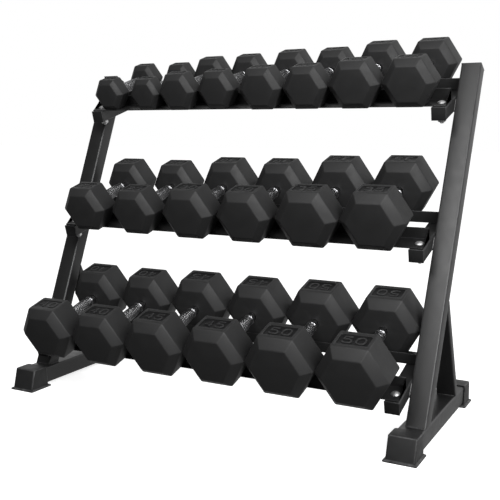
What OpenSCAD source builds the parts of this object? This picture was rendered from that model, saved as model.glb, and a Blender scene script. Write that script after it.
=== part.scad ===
// Three-tier rack for hex dumbbells, with its twenty dumbbells on it.
// Two side frames (base tube, leaning upright, short rear brace, three tilted arms) carry six
// angle-iron rails. Front of the rack is -Y, floor is Z = 0, X runs along the rails.

/* [Side frames] */
// Distance between the outer faces of the two side frames
rack_w = 1120; // [900:1:1400]
// Width of each base tube, across the rack
base_w = 60; // [40:1:80]
// Height of each base tube
base_h = 45; // [30:1:60]
// Length of each base tube, front to back
base_l = 477; // [400:1:600]
// Width of upright and brace, across the rack
upright_w = 48; // [30:1:60]
// Depth of the upright, front to back
upright_d = 40; // [25:1:60]
// Lean of the upright behind the vertical, in degrees
upright_lean = 23.5; // [10:0.1:35]
// Length of the upright along its front face, closing cap included
upright_l = 884; // [700:1:1000]
// Where the upright's front face stands on the base tube, from the front
upright_y = 72.6; // [40:0.1:150]
// Depth of the rear brace tube
brace_d = 20; // [15:1:40]
// Where the brace's rear face stands on the base tube, from the front
brace_y = 365; // [250:1:430]
// Height at which the brace's rear face meets the upright
brace_top_z = 317; // [200:1:500]
// Wall thickness of every steel tube
tube_wall = 2; // [1.5:0.1:3]

/* [Shelves] */
// Tilt of every shelf, front edge down, in degrees
shelf_tilt = 16.2; // [0:0.1:25]
// Front top corner of the lowest arms, distance from the front of the base
arm_1_y = 22; // [0:1:100]
// Front top corner of the lowest arms, height
arm_1_z = 121.3; // [80:0.1:250]
// Step back from one shelf to the next
shelf_step_y = 137.4; // [100:0.1:180]
// Step up from one shelf to the next
shelf_step_z = 317.5; // [250:0.5:400]
// Width of a shelf arm, across the rack
arm_w = 35; // [20:1:50]
// Height of a shelf arm
arm_h = 32; // [20:1:50]
// Length of a shelf arm with both end plugs
arm_l = 222; // [180:1:300]
// Length of the rails
rail_l = 1020; // [800:1:1300]
// Depth of the rail's flat leg
rail_flat = 57; // [40:1:80]
// Height of the rail's standing leg
rail_stand = 30; // [20:1:50]
// Thickness of the rail's steel
rail_t = 3; // [2:0.5:5]
// Gap between the arm's front end and the front rail
rail_inset = 5; // [0:1:20]

/* [Fastenings] */
// Shank diameter of the rail bolts
bolt_d = 10; // [6:1:12]
// Diameter of the domed bolt head
bolt_head_d = 21; // [14:1:28]
// Height of the domed bolt head
bolt_head_h = 5.5; // [3:0.5:9]
// Width of the nuts across their flats
nut_af = 17; // [10:1:20]
// Height of the nuts
nut_h = 8; // [5:1:12]
// Diameter of the washers
washer_d = 21; // [14:1:28]

/* [Feet] */
// Height of the foot cap's floor under the tube
cap_floor = 9; // [4:1:15]
// Side and top wall of the foot cap
cap_wall = 3.4; // [2:0.1:6]
// Length of the foot cap at its top
cap_l = 50; // [30:1:80]
// Forward slope of the front cap's nose, bottom beyond top
cap_nose = 14; // [0:1:25]
// Backward slope of the rear cap's nose
cap_tail = 8; // [0:1:25]
// Width of the flange round the foot cap's bottom edge
cap_flange = 5; // [2:1:10]

/* [Dumbbells] */
// End chamfer of a head as a share of its size across the flats
chamfer_share = 0.14; // [0.05:0.01:0.25]
// Diameter of the handle's neck beside the heads
neck_d = 20; // [18:1:26]
// Diameter of the ring at each end of the grip
ring_d = 28; // [26:1:36]
// Diameter of the grip at its middle
grip_d = 31; // [28:1:38]
// Depth of the number panel on the top flat of every head
panel_depth = 0.8; // [0.4:0.1:2]
// Height of the heads above the rails while they rest
seat_gap = 0.4; // [0.3:0.1:1]

/* [Hidden] */
$fn = 48;

// One row per dumbbell size: pounds, across flats, head length, length between heads, rubber
// thickness over the iron core (chosen so that core, rubber and handle add up to the pounds).
SIZES = [
    [5, 84, 58, 124, 15.3],
    [10, 97, 66, 124, 10.6],
    [15, 105, 72, 124, 8],
    [20, 114, 79, 124, 7.7],
    [25, 118, 87, 124, 6.9],
    [30, 128, 92, 124, 7.9],
    [35, 137, 96, 124, 8.7],
    [40, 139, 103, 124, 8.3],
    [45, 145, 106, 124, 8.4],
    [50, 149, 110, 124, 8.2]
];
// Row of SIZES used at each place, and the place's X, from left to right, lowest tier first
TIER_SIZE = [[7, 7, 8, 8, 9, 9], [4, 4, 5, 5, 6, 6], [0, 0, 1, 1, 2, 2, 3, 3]];
TIER_X = [
    [-419, -253, -85, 83, 253, 425.3],
    [-408, -244, -77, 81, 246.5, 405],
    [-444, -316, -206, -93, 46, 169.5, 297, 429]
];
// How far back along the arms the middle of each dumbbell sits
TIER_S = [
    [104, 104, 104, 104, 104, 105],
    [109, 105, 104, 104, 104, 114],
    [115, 108, 104, 118, 104, 104, 108, 113]
];

half_w = rack_w / 2;
base_top = cap_floor + base_h;
cap_play = 0.1;
// Wider mouth of the foot cap round the tube
mouth_gap = 1.6;
mouth_depth = 12;
s_lean = sin(upright_lean);
c_lean = cos(upright_lean);
s_tilt = sin(shelf_tilt);
c_tilt = cos(shelf_tilt);
arm_x0 = half_w - upright_w - arm_w;
arm_mid_x = arm_x0 + arm_w / 2;
top_cap_t = 3;
plug_t = 2.5;
plug_reach = 12;
plug_wall = 1.6;
rail_bend = 4;
rear_rail_s = 218;
bolt_s = [rail_inset + 25, rear_rail_s - 25];
washer_t = 1.8;
core_play = 0.05;
bore_play = 0.1;
grip_end_r = 13.2;

// Front-most and rear-most reach of the dumbbells, used to centre the whole object on Y = 0
function size_at(t, i) = SIZES[TIER_SIZE[t][i]];
function half_length(d) = d[3] / 2 + d[2];
front_reach = min([for (i = [0:5]) let (d = size_at(0, i))
    arm_1_y + (TIER_S[0][i] - half_length(d)) * c_tilt
        - (rail_t + seat_gap + d[1] * (1 - chamfer_share)) * s_tilt]);
rear_reach = max([for (i = [0:7]) let (d = size_at(2, i))
    arm_1_y + 2 * shelf_step_y + (TIER_S[2][i] + half_length(d)) * c_tilt
        - (rail_t + seat_gap + d[1] * chamfer_share) * s_tilt]);
centre_y = (front_reach + rear_reach) / 2;

// Upright's rear face and the brace's faces, in the side view (Y, Z)
function upright_rear_y(z) = upright_y + upright_d / c_lean + (z - base_top) * s_lean / c_lean;
brace_head = [upright_rear_y(brace_top_z), brace_top_z];
brace_foot = [brace_y, base_top];
brace_run = (brace_head - brace_foot) / norm(brace_head - brace_foot);
brace_in = [-brace_run[1], brace_run[0]];
// Where a line parallel to the brace, moved in by d, meets the upright's rear face
function brace_meet(d) =
    let (p = brace_foot + d * brace_in,
         k = (upright_rear_y(p[1]) - p[0]) / (brace_run[0] - brace_run[1] * s_lean / c_lean))
    p + k * brace_run;
// Where the same line meets the base tube's top
function brace_land(d) =
    let (p = brace_foot + d * brace_in)
    p - p[1] / brace_run[1] * brace_run + base_top / brace_run[1] * brace_run;

steel = [0.16, 0.165, 0.175];
rubber = [0.09, 0.09, 0.09];
chrome = [0.8, 0.8, 0.82];
zinc = [0.7, 0.7, 0.7];
plastic = [0.06, 0.06, 0.06];

// ---- placing helpers ----
// Whole rack's own coordinates (Y = 0 at the front end of the base tubes) to the centred ones
module rack() {
    translate([0, -centre_y, 0])
        children();
}

// Extrudes a side-view shape (Y, Z) from x0 to x1
module side_extrude(x0, x1) {
    translate([x0, 0, 0])
        rotate([90, 0, 90])
            linear_extrude(x1 - x0)
                children();
}

// Coordinates of one tier's arms: Y along the arm, Z square to its top, origin at its front corner
module on_tier(t) {
    rack()
        translate([0, arm_1_y + t * shelf_step_y, arm_1_z + t * shelf_step_z])
            rotate([shelf_tilt, 0, 0])
                children();
}

module left_side() {
    mirror([1, 0, 0])
        children();
}

// ---- side frames (built on the right, mirrored to the left) ----
module base_tube() {
    color(steel)
        rack()
            side_extrude(half_w - base_w, half_w)
                translate([0, cap_floor])
                    square([base_l, base_h]);
}

module base_tube_hollow() {
    difference() {
        base_tube();
        rack()
            side_extrude(half_w - base_w + tube_wall, half_w - tube_wall)
                translate([-1, cap_floor + tube_wall])
                    square([base_l + 2, base_h - 2 * tube_wall]);
    }
}

module upright_frame() {
    rack()
        translate([0, upright_y, base_top])
            rotate([-upright_lean, 0, 0])
                children();
}

module upright() {
    rise = s_lean / c_lean;
    top = upright_l - top_cap_t;
    color(steel)
        upright_frame()
            difference() {
                side_extrude(half_w - upright_w, half_w)
                    polygon([[0, 0], [upright_d, upright_d * rise], [upright_d, top], [0, top]]);
                side_extrude(half_w - upright_w + tube_wall, half_w - tube_wall)
                    translate([tube_wall, -1])
                        square([upright_d - 2 * tube_wall, top + 2]);
            }
}

module upright_cap() {
    upright_frame() {
        translate([half_w - upright_w, 0, upright_l - top_cap_t])
            cube([upright_w, upright_d, top_cap_t]);
        translate([half_w - upright_w + tube_wall + cap_play, tube_wall + cap_play,
                   upright_l - top_cap_t - plug_reach])
            difference() {
                cube([upright_w - 2 * (tube_wall + cap_play), upright_d - 2 * (tube_wall + cap_play),
                      plug_reach + 1]);
                translate([plug_wall, plug_wall, -1])
                    cube([upright_w - 2 * (tube_wall + cap_play + plug_wall),
                          upright_d - 2 * (tube_wall + cap_play + plug_wall), plug_reach + 1]);
            }
    }
}

module brace() {
    color(steel)
        rack()
            difference() {
                side_extrude(half_w - upright_w, half_w)
                    polygon([brace_foot, brace_head, brace_meet(brace_d), brace_land(brace_d)]);
                side_extrude(half_w - upright_w + tube_wall, half_w - tube_wall)
                    polygon([
                        brace_land(tube_wall) - 3 * brace_run,
                        brace_meet(tube_wall) + 3 * brace_run,
                        brace_meet(brace_d - tube_wall) + 3 * brace_run,
                        brace_land(brace_d - tube_wall) - 3 * brace_run
                    ]);
            }
}

module shelf_arm(t) {
    on_tier(t)
        difference() {
            translate([arm_x0, plug_t, -arm_h])
                cube([arm_w, arm_l - 2 * plug_t, arm_h]);
            translate([arm_x0 + tube_wall, 0, -arm_h + tube_wall])
                cube([arm_w - 2 * tube_wall, arm_l, arm_h - 2 * tube_wall]);
            for (s = bolt_s)
                translate([arm_mid_x, s, -arm_h - 1])
                    cylinder(d = bolt_d + 0.6, h = arm_h + 2);
        }
}

module shelf_arms() {
    color(steel)
        for (t = [0:2])
            shelf_arm(t);
}

module left_base_tube() left_side() base_tube_hollow();
module right_base_tube() base_tube_hollow();
module left_upright() left_side() upright();
module right_upright() upright();
module left_rear_brace() left_side() brace();
module right_rear_brace() brace();
module left_shelf_arms() left_side() shelf_arms();
module right_shelf_arms() shelf_arms();

// ---- rails ----
// Bent angle, flat leg forward from the standing leg at Y = 0
module rail_section() {
    difference() {
        union() {
            translate([-rail_flat, 0])
                square([rail_flat, rail_t]);
            translate([-rail_t, 0])
                square([rail_t, rail_stand]);
            translate([-rail_t - 1, rail_t - 0.5])
                difference() {
                    square(1.5);
                    translate([0, 1.5])
                        circle(r = 1);
                }
        }
        translate([-rail_bend, 0])
            difference() {
                translate([0, -1])
                    square([rail_bend + 1, rail_bend + 1]);
                translate([0, rail_bend])
                    circle(r = rail_bend);
            }
    }
}

module rail(t, rear) {
    s = rear ? rear_rail_s - rail_flat : rail_inset + rail_flat;
    color(steel)
        on_tier(t)
            difference() {
                translate([0, s, 0])
                    side_extrude(-rail_l / 2, rail_l / 2)
                        mirror([rear ? 1 : 0, 0])
                            rail_section();
                for (x = [-arm_mid_x, arm_mid_x])
                    translate([x, bolt_s[rear ? 1 : 0], -1])
                        cylinder(d = bolt_d + 0.6, h = rail_t + 2);
            }
}

module lower_front_rail() rail(0, false);
module lower_rear_rail() rail(0, true);
module middle_front_rail() rail(1, false);
module middle_rear_rail() rail(1, true);
module upper_front_rail() rail(2, false);
module upper_rear_rail() rail(2, true);

// ---- feet, plugs and caps ----
// Plate with bevelled top edges
module bevelled_plate(x0, x1, y0, y1, h, b) {
    intersection() {
        side_extrude(x0, x1)
            polygon([[y0, 0], [y0, h - b], [y0 + b, h], [y1 - b, h], [y1, h - b], [y1, 0]]);
        translate([0, y1, 0])
            rotate([90, 0, 0])
                linear_extrude(y1 - y0)
                    polygon([[x0, 0], [x0, h - b], [x0 + b, h], [x1 - b, h], [x1, h - b], [x1, 0]]);
    }
}

// Foot cap at the front end of a base tube, opening towards +Y, nose sloping by `nose`
module foot_cap(nose) {
    x0 = half_w - base_w - cap_wall;
    x1 = half_w + cap_wall;
    top = base_top + cap_wall;
    difference() {
        union() {
            side_extrude(x0, x1)
                polygon([[-nose, 0], [-nose, 5], [0, top], [cap_l, top], [cap_l + 5, 5], [cap_l + 5, 0]]);
            bevelled_plate(x0 - cap_flange, x1 + cap_flange, -nose - cap_flange, cap_l + 5 + cap_flange, 5, 1.5);
        }
        side_extrude(half_w - base_w - cap_play, half_w + cap_play)
            translate([cap_wall, cap_floor])
                square([cap_l + 20, base_h + cap_play]);
        side_extrude(half_w - base_w - mouth_gap, half_w + mouth_gap)
            translate([cap_l - mouth_depth, cap_floor])
                square([mouth_depth + 20, base_h + mouth_gap]);
    }
}

module foot_caps() {
    color(plastic)
        rack()
            for (m = [0, 1])
                mirror([m, 0, 0]) {
                    translate([0, -cap_wall, 0])
                        foot_cap(cap_nose);
                    translate([0, base_l + cap_wall, 0])
                        mirror([0, 1, 0])
                            foot_cap(cap_tail);
                }
}

module upright_top_caps() {
    color(plastic)
        for (m = [0, 1])
            mirror([m, 0, 0])
                upright_cap();
}

module end_plug() {
    g = tube_wall + cap_play;
    translate([arm_x0, 0, -arm_h])
        cube([arm_w, plug_t, arm_h]);
    translate([arm_x0 + g, plug_t - 1, -arm_h + g])
        difference() {
            cube([arm_w - 2 * g, plug_reach + 1, arm_h - 2 * g]);
            translate([plug_wall, 1, plug_wall])
                cube([arm_w - 2 * (g + plug_wall), plug_reach + 1, arm_h - 2 * (g + plug_wall)]);
        }
}

module arm_end_plugs() {
    color(plastic)
        for (t = [0:2])
            on_tier(t)
                for (m = [0, 1])
                    mirror([m, 0, 0]) {
                        end_plug();
                        translate([0, arm_l, 0])
                            mirror([0, 1, 0])
                                end_plug();
                    }
}

// ---- bolts, washers and nuts that clamp the rails to the arms ----
module at_bolts() {
    for (t = [0:2])
        on_tier(t)
            for (x = [-arm_mid_x, arm_mid_x])
                for (s = bolt_s)
                    translate([x, s, 0])
                        children();
}

// Domed head on the rail, plain shank through rail and arm
module rail_bolts() {
    dome_r = (bolt_head_d * bolt_head_d / 4 + bolt_head_h * bolt_head_h) / (2 * bolt_head_h);
    dome_a = asin(bolt_head_d / 2 / dome_r);
    shank_l = arm_h + washer_t + nut_h + 4;
    color(zinc)
        at_bolts()
            rotate_extrude()
                polygon(concat(
                    [[0, -shank_l], [bolt_d / 2 - 1, -shank_l], [bolt_d / 2, -shank_l + 1],
                     [bolt_d / 2, rail_t]],
                    [for (i = [8:-1:0]) [dome_r * sin(dome_a * i / 8),
                                         rail_t + bolt_head_h - dome_r + dome_r * cos(dome_a * i / 8)]]
                ));
}

module rail_washers() {
    color(zinc)
        at_bolts()
            translate([0, 0, -arm_h - washer_t])
                difference() {
                    cylinder(d = washer_d, h = washer_t);
                    translate([0, 0, -1])
                        cylinder(d = bolt_d + 0.6, h = washer_t + 2);
                }
}

module rail_nuts() {
    color(zinc)
        at_bolts()
            translate([0, 0, -arm_h - washer_t - nut_h])
                difference() {
                    cylinder(d = nut_af / cos(30), h = nut_h, $fn = 6);
                    translate([0, 0, -1])
                        cylinder(d = bolt_d + 0.2, h = nut_h + 2);
                }
}

// ---- dumbbells ----
// Hexagonal block with its axis along Y from 0 to l, flats up and down, both ends chamfered
module hex_block(af, l, ch) {
    r = [af / 2 - ch, af / 2, af / 2, af / 2 - ch] / cos(30);
    y = [0, ch, l - ch, l];
    polyhedron(
        points = [for (k = [0:3]) for (i = [0:5]) [r[k] * cos(60 * i), y[k], r[k] * sin(60 * i)]],
        faces = concat(
            [[for (i = [5:-1:0]) i], [for (i = [18:23]) i]],
            [for (k = [0, 6, 12]) for (i = [0:5]) [k + i, k + (i + 1) % 6, k + 6 + (i + 1) % 6, k + 6 + i]]
        )
    );
}

// Turned shape about the Y axis from a profile of [radius, y] points
module turned() {
    rotate([-90, 0, 0])
        rotate_extrude()
            children();
}

function core_chamfer(d) = max(chamfer_share * d[1] - 0.6 * d[4], 2);
function handle_reach(d) = d[4] + 0.6 * (d[2] - 2 * d[4]);

// Coordinates of one dumbbell: Y along its handle, Z square to the shelf, origin at its middle
module at_place(t, i) {
    d = SIZES[TIER_SIZE[t][i]];
    on_tier(t)
        translate([TIER_X[t][i], TIER_S[t][i], rail_t + seat_gap + d[1] / 2])
            children();
}

// Rubber coat of one head, inner face at Y = 0, closed round the iron core
module head_coat(d) {
    af = d[1];
    l = d[2];
    t = d[4];
    ch = chamfer_share * af;
    side = af / sqrt(3);
    panel_l = 0.6 * (l - 2 * ch);
    difference() {
        hex_block(af, l, ch);
        translate([0, t - core_play, 0])
            hex_block(af - 2 * (t - core_play), l - 2 * (t - core_play), core_chamfer(d));
        translate([0, -1, 0])
            turned()
                square([neck_d / 2 + bore_play, t + 2]);
        translate([-side * 0.41, l / 2 - panel_l / 2, af / 2 - panel_depth])
            cube([side * 0.82, panel_l, panel_depth + 1]);
    }
}

// Cast-iron core of one head, with a blind bore for the end of the handle
module head_core(d) {
    t = d[4];
    difference() {
        translate([0, t, 0])
            hex_block(d[1] - 2 * t, d[2] - 2 * t, core_chamfer(d));
        translate([0, t - 1, 0])
            turned()
                square([neck_d / 2 + bore_play, handle_reach(d) - t + 1 + bore_play]);
    }
}

// Handle: plain necks, a ring at each end, and a grip that swells to its middle
module handle_bar(d) {
    half = d[3] / 2;
    reach = half + handle_reach(d);
    ring = half - 20;
    swell = grip_d / 2 - grip_end_r;
    turned()
        polygon(concat(
            [[0, -reach], [neck_d / 2 - 1, -reach], [neck_d / 2, 1 - reach],
             [neck_d / 2, -ring - 4], [ring_d / 2 - 0.6, -ring - 3], [ring_d / 2, -ring - 1.5],
             [ring_d / 2 - 0.6, -ring], [grip_end_r - 0.6, -ring + 0.8]],
            [for (k = [-6:6]) [grip_end_r + swell * cos(90 * k / 6), (ring - 2) * k / 6]],
            [[grip_end_r - 0.6, ring - 0.8], [ring_d / 2 - 0.6, ring], [ring_d / 2, ring + 1.5],
             [ring_d / 2 - 0.6, ring + 3], [neck_d / 2, ring + 4],
             [neck_d / 2, reach - 1], [neck_d / 2 - 1, reach], [0, reach]]
        ));
}

module dumbbell_heads(t, i) {
    d = SIZES[TIER_SIZE[t][i]];
    color(rubber)
        at_place(t, i)
            for (m = [0, 1])
                mirror([0, m, 0])
                    translate([0, d[3] / 2, 0])
                        head_coat(d);
}

module dumbbell_handle(t, i) {
    d = SIZES[TIER_SIZE[t][i]];
    color(chrome)
        at_place(t, i) {
            handle_bar(d);
            for (m = [0, 1])
                mirror([0, m, 0])
                    translate([0, d[3] / 2, 0])
                        head_core(d);
        }
}

// ---- the twenty dumbbells, one pair of modules each: (tier, place along the tier) ----
module dumbbell_40_a_heads() dumbbell_heads(0, 0);
module dumbbell_40_a_handle() dumbbell_handle(0, 0);
module dumbbell_40_b_heads() dumbbell_heads(0, 1);
module dumbbell_40_b_handle() dumbbell_handle(0, 1);
module dumbbell_45_a_heads() dumbbell_heads(0, 2);
module dumbbell_45_a_handle() dumbbell_handle(0, 2);
module dumbbell_45_b_heads() dumbbell_heads(0, 3);
module dumbbell_45_b_handle() dumbbell_handle(0, 3);
module dumbbell_50_a_heads() dumbbell_heads(0, 4);
module dumbbell_50_a_handle() dumbbell_handle(0, 4);
module dumbbell_50_b_heads() dumbbell_heads(0, 5);
module dumbbell_50_b_handle() dumbbell_handle(0, 5);
module dumbbell_25_a_heads() dumbbell_heads(1, 0);
module dumbbell_25_a_handle() dumbbell_handle(1, 0);
module dumbbell_25_b_heads() dumbbell_heads(1, 1);
module dumbbell_25_b_handle() dumbbell_handle(1, 1);
module dumbbell_30_a_heads() dumbbell_heads(1, 2);
module dumbbell_30_a_handle() dumbbell_handle(1, 2);
module dumbbell_30_b_heads() dumbbell_heads(1, 3);
module dumbbell_30_b_handle() dumbbell_handle(1, 3);
module dumbbell_35_a_heads() dumbbell_heads(1, 4);
module dumbbell_35_a_handle() dumbbell_handle(1, 4);
module dumbbell_35_b_heads() dumbbell_heads(1, 5);
module dumbbell_35_b_handle() dumbbell_handle(1, 5);
module dumbbell_05_a_heads() dumbbell_heads(2, 0);
module dumbbell_05_a_handle() dumbbell_handle(2, 0);
module dumbbell_05_b_heads() dumbbell_heads(2, 1);
module dumbbell_05_b_handle() dumbbell_handle(2, 1);
module dumbbell_10_a_heads() dumbbell_heads(2, 2);
module dumbbell_10_a_handle() dumbbell_handle(2, 2);
module dumbbell_10_b_heads() dumbbell_heads(2, 3);
module dumbbell_10_b_handle() dumbbell_handle(2, 3);
module dumbbell_15_a_heads() dumbbell_heads(2, 4);
module dumbbell_15_a_handle() dumbbell_handle(2, 4);
module dumbbell_15_b_heads() dumbbell_heads(2, 5);
module dumbbell_15_b_handle() dumbbell_handle(2, 5);
module dumbbell_20_a_heads() dumbbell_heads(2, 6);
module dumbbell_20_a_handle() dumbbell_handle(2, 6);
module dumbbell_20_b_heads() dumbbell_heads(2, 7);
module dumbbell_20_b_handle() dumbbell_handle(2, 7);

left_base_tube();
right_base_tube();
left_upright();
right_upright();
left_rear_brace();
right_rear_brace();
left_shelf_arms();
right_shelf_arms();
lower_front_rail();
lower_rear_rail();
middle_front_rail();
middle_rear_rail();
upper_front_rail();
upper_rear_rail();
foot_caps();
upright_top_caps();
arm_end_plugs();
rail_bolts();
rail_washers();
rail_nuts();
dumbbell_40_a_heads();
dumbbell_40_a_handle();
dumbbell_40_b_heads();
dumbbell_40_b_handle();
dumbbell_45_a_heads();
dumbbell_45_a_handle();
dumbbell_45_b_heads();
dumbbell_45_b_handle();
dumbbell_50_a_heads();
dumbbell_50_a_handle();
dumbbell_50_b_heads();
dumbbell_50_b_handle();
dumbbell_25_a_heads();
dumbbell_25_a_handle();
dumbbell_25_b_heads();
dumbbell_25_b_handle();
dumbbell_30_a_heads();
dumbbell_30_a_handle();
dumbbell_30_b_heads();
dumbbell_30_b_handle();
dumbbell_35_a_heads();
dumbbell_35_a_handle();
dumbbell_35_b_heads();
dumbbell_35_b_handle();
dumbbell_05_a_heads();
dumbbell_05_a_handle();
dumbbell_05_b_heads();
dumbbell_05_b_handle();
dumbbell_10_a_heads();
dumbbell_10_a_handle();
dumbbell_10_b_heads();
dumbbell_10_b_handle();
dumbbell_15_a_heads();
dumbbell_15_a_handle();
dumbbell_15_b_heads();
dumbbell_15_b_handle();
dumbbell_20_a_heads();
dumbbell_20_a_handle();
dumbbell_20_b_heads();
dumbbell_20_b_handle();
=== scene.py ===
"""Looks for a three-tier dumbbell rack with twenty rubber hex dumbbells.

Lengths are in metres. The rack's own coordinates have Y = 0 at the front end of the base tubes,
Z = 0 on the floor and X = 0 half way between the side frames; OFFSET moves them to the frame's.
A shelf's coordinates are X, then s along the sloping arm, then h square to its top.
"""

from math import asin, cos, pi, radians, sin, sqrt, tan

import bmesh
import bpy
from mathutils import Matrix, Vector

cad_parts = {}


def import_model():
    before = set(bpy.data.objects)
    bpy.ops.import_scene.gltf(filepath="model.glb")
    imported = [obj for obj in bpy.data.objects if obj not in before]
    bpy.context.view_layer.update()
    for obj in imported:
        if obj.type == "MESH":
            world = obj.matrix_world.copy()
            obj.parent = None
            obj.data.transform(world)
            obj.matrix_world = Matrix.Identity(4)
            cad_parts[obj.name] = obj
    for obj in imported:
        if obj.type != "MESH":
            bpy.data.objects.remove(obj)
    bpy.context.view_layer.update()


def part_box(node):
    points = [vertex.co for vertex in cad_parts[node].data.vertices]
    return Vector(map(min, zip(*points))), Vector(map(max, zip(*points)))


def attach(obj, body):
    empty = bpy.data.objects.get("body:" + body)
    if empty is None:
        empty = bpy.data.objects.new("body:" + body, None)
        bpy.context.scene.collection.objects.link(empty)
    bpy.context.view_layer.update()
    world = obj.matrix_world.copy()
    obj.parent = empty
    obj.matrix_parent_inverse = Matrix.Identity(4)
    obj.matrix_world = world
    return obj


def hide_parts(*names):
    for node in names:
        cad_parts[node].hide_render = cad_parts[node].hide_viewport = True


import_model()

# ---------------------------------------------------------------- driving dimensions
HALF_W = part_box("right_base_tube")[1].x
OFFSET = Vector((0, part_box("right_base_tube")[0].y, 0))
BASE_W, BASE_L, BASE_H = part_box("right_base_tube")[1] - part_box("right_base_tube")[0]
BASE_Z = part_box("right_base_tube")[0].z
BASE_TOP = BASE_Z + BASE_H
WALL = 0.002
TUBE_CORNER, SLIM_CORNER = 0.0045, 0.0035
WELD_R, FINE_WELD_R = 0.0022, 0.0020
WELD_INSET = 0.003
SHARP_ANGLE = radians(32)
UP_W, UP_D, UP_L = 0.048, 0.040, 0.884
LEAN = radians(23.5)
UP_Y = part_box("right_upright")[0].y - OFFSET.y
TOP_CAP = 0.003
TONGUE_L, TONGUE_LAP, TONGUE_INSET = 0.012, 0.0005, 0.0022
BRACE_D = 0.020
BRACE_Y, BRACE_Z = 0.365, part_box("right_rear_brace")[1].z
TILT = radians(16.2)
ARM_W, ARM_H, ARM_L, PLUG = 0.035, 0.032, 0.222, 0.0025
ARM_X = HALF_W - UP_W - ARM_W / 2
ARM_CORNER = [Vector((0.022 + 0.1374 * t, 0.1213 + 0.3175 * t)) for t in range(3)]
TIERS = ("lower", "middle", "upper")
RAIL_HALF_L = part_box("upper_front_rail")[1].x
RAIL_FLAT, RAIL_STAND, RAIL_T = 0.057, 0.030, 0.003
RAIL_FRONT_S, RAIL_BACK_S = 0.005, 0.218
BOLT_S = (RAIL_FRONT_S + 0.025, RAIL_BACK_S - 0.025)
BOLT_D, BOLT_HEAD_D, BOLT_HEAD_H = 0.010, 0.021, 0.0055
WASHER_D, WASHER_T, NUT_AF, NUT_H = 0.021, 0.0018, 0.017, 0.008
THREAD_PITCH, THREAD_END = 0.0015, 0.004
CAP_WALL, CAP_L, CAP_FLANGE, CAP_NOSE, CAP_TAIL = 0.0034, 0.050, 0.005, 0.014, 0.008
CAP_PLAY, MOUTH_GAP, MOUTH_L = 0.0001, 0.0016, 0.012
CHAMFER, HEAD_EDGE = 0.14, 0.0022
NECK_R, RING_R, GRIP_R, GRIP_END_R = 0.010, 0.014, 0.0155, 0.0132
SEAT_GAP = 0.0004
SEAT = RAIL_T + SEAT_GAP
PANEL_W, PANEL_L, PANEL_DEPTH = 0.82, 0.6, 0.0014

# pounds: across flats, head length, length between the heads, rubber thickness
SIZES = {
    5: (0.084, 0.058, 0.124, 0.0153),
    10: (0.097, 0.066, 0.124, 0.0106),
    15: (0.105, 0.072, 0.124, 0.0080),
    20: (0.114, 0.079, 0.124, 0.0077),
    25: (0.118, 0.087, 0.124, 0.0069),
    30: (0.128, 0.092, 0.124, 0.0079),
    35: (0.137, 0.096, 0.124, 0.0087),
    40: (0.139, 0.103, 0.124, 0.0083),
    45: (0.145, 0.106, 0.124, 0.0084),
    50: (0.149, 0.110, 0.124, 0.0082),
}
TIER_POUNDS = ((40, 45, 50), (25, 30, 35), (5, 10, 15, 20))
# how far back along the arms each dumbbell's middle sits
TIER_S = (
    (0.104, 0.104, 0.104, 0.104, 0.104, 0.105),
    (0.109, 0.105, 0.104, 0.104, 0.104, 0.114),
    (0.115, 0.108, 0.104, 0.118, 0.104, 0.104, 0.108, 0.113),
)


# ---------------------------------------------------------------- placing
def rack(y, z, x=0.0):
    """A point in the rack's own coordinates, moved to the frame's."""
    return Vector((x, y, z)) + OFFSET


def shelf_matrix(tier):
    """Shelf coordinates (x, s, h) to the frame's."""
    corner = rack(ARM_CORNER[tier].x, ARM_CORNER[tier].y)
    return Matrix.Translation(corner) @ Matrix.Rotation(TILT, 4, "X")


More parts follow.
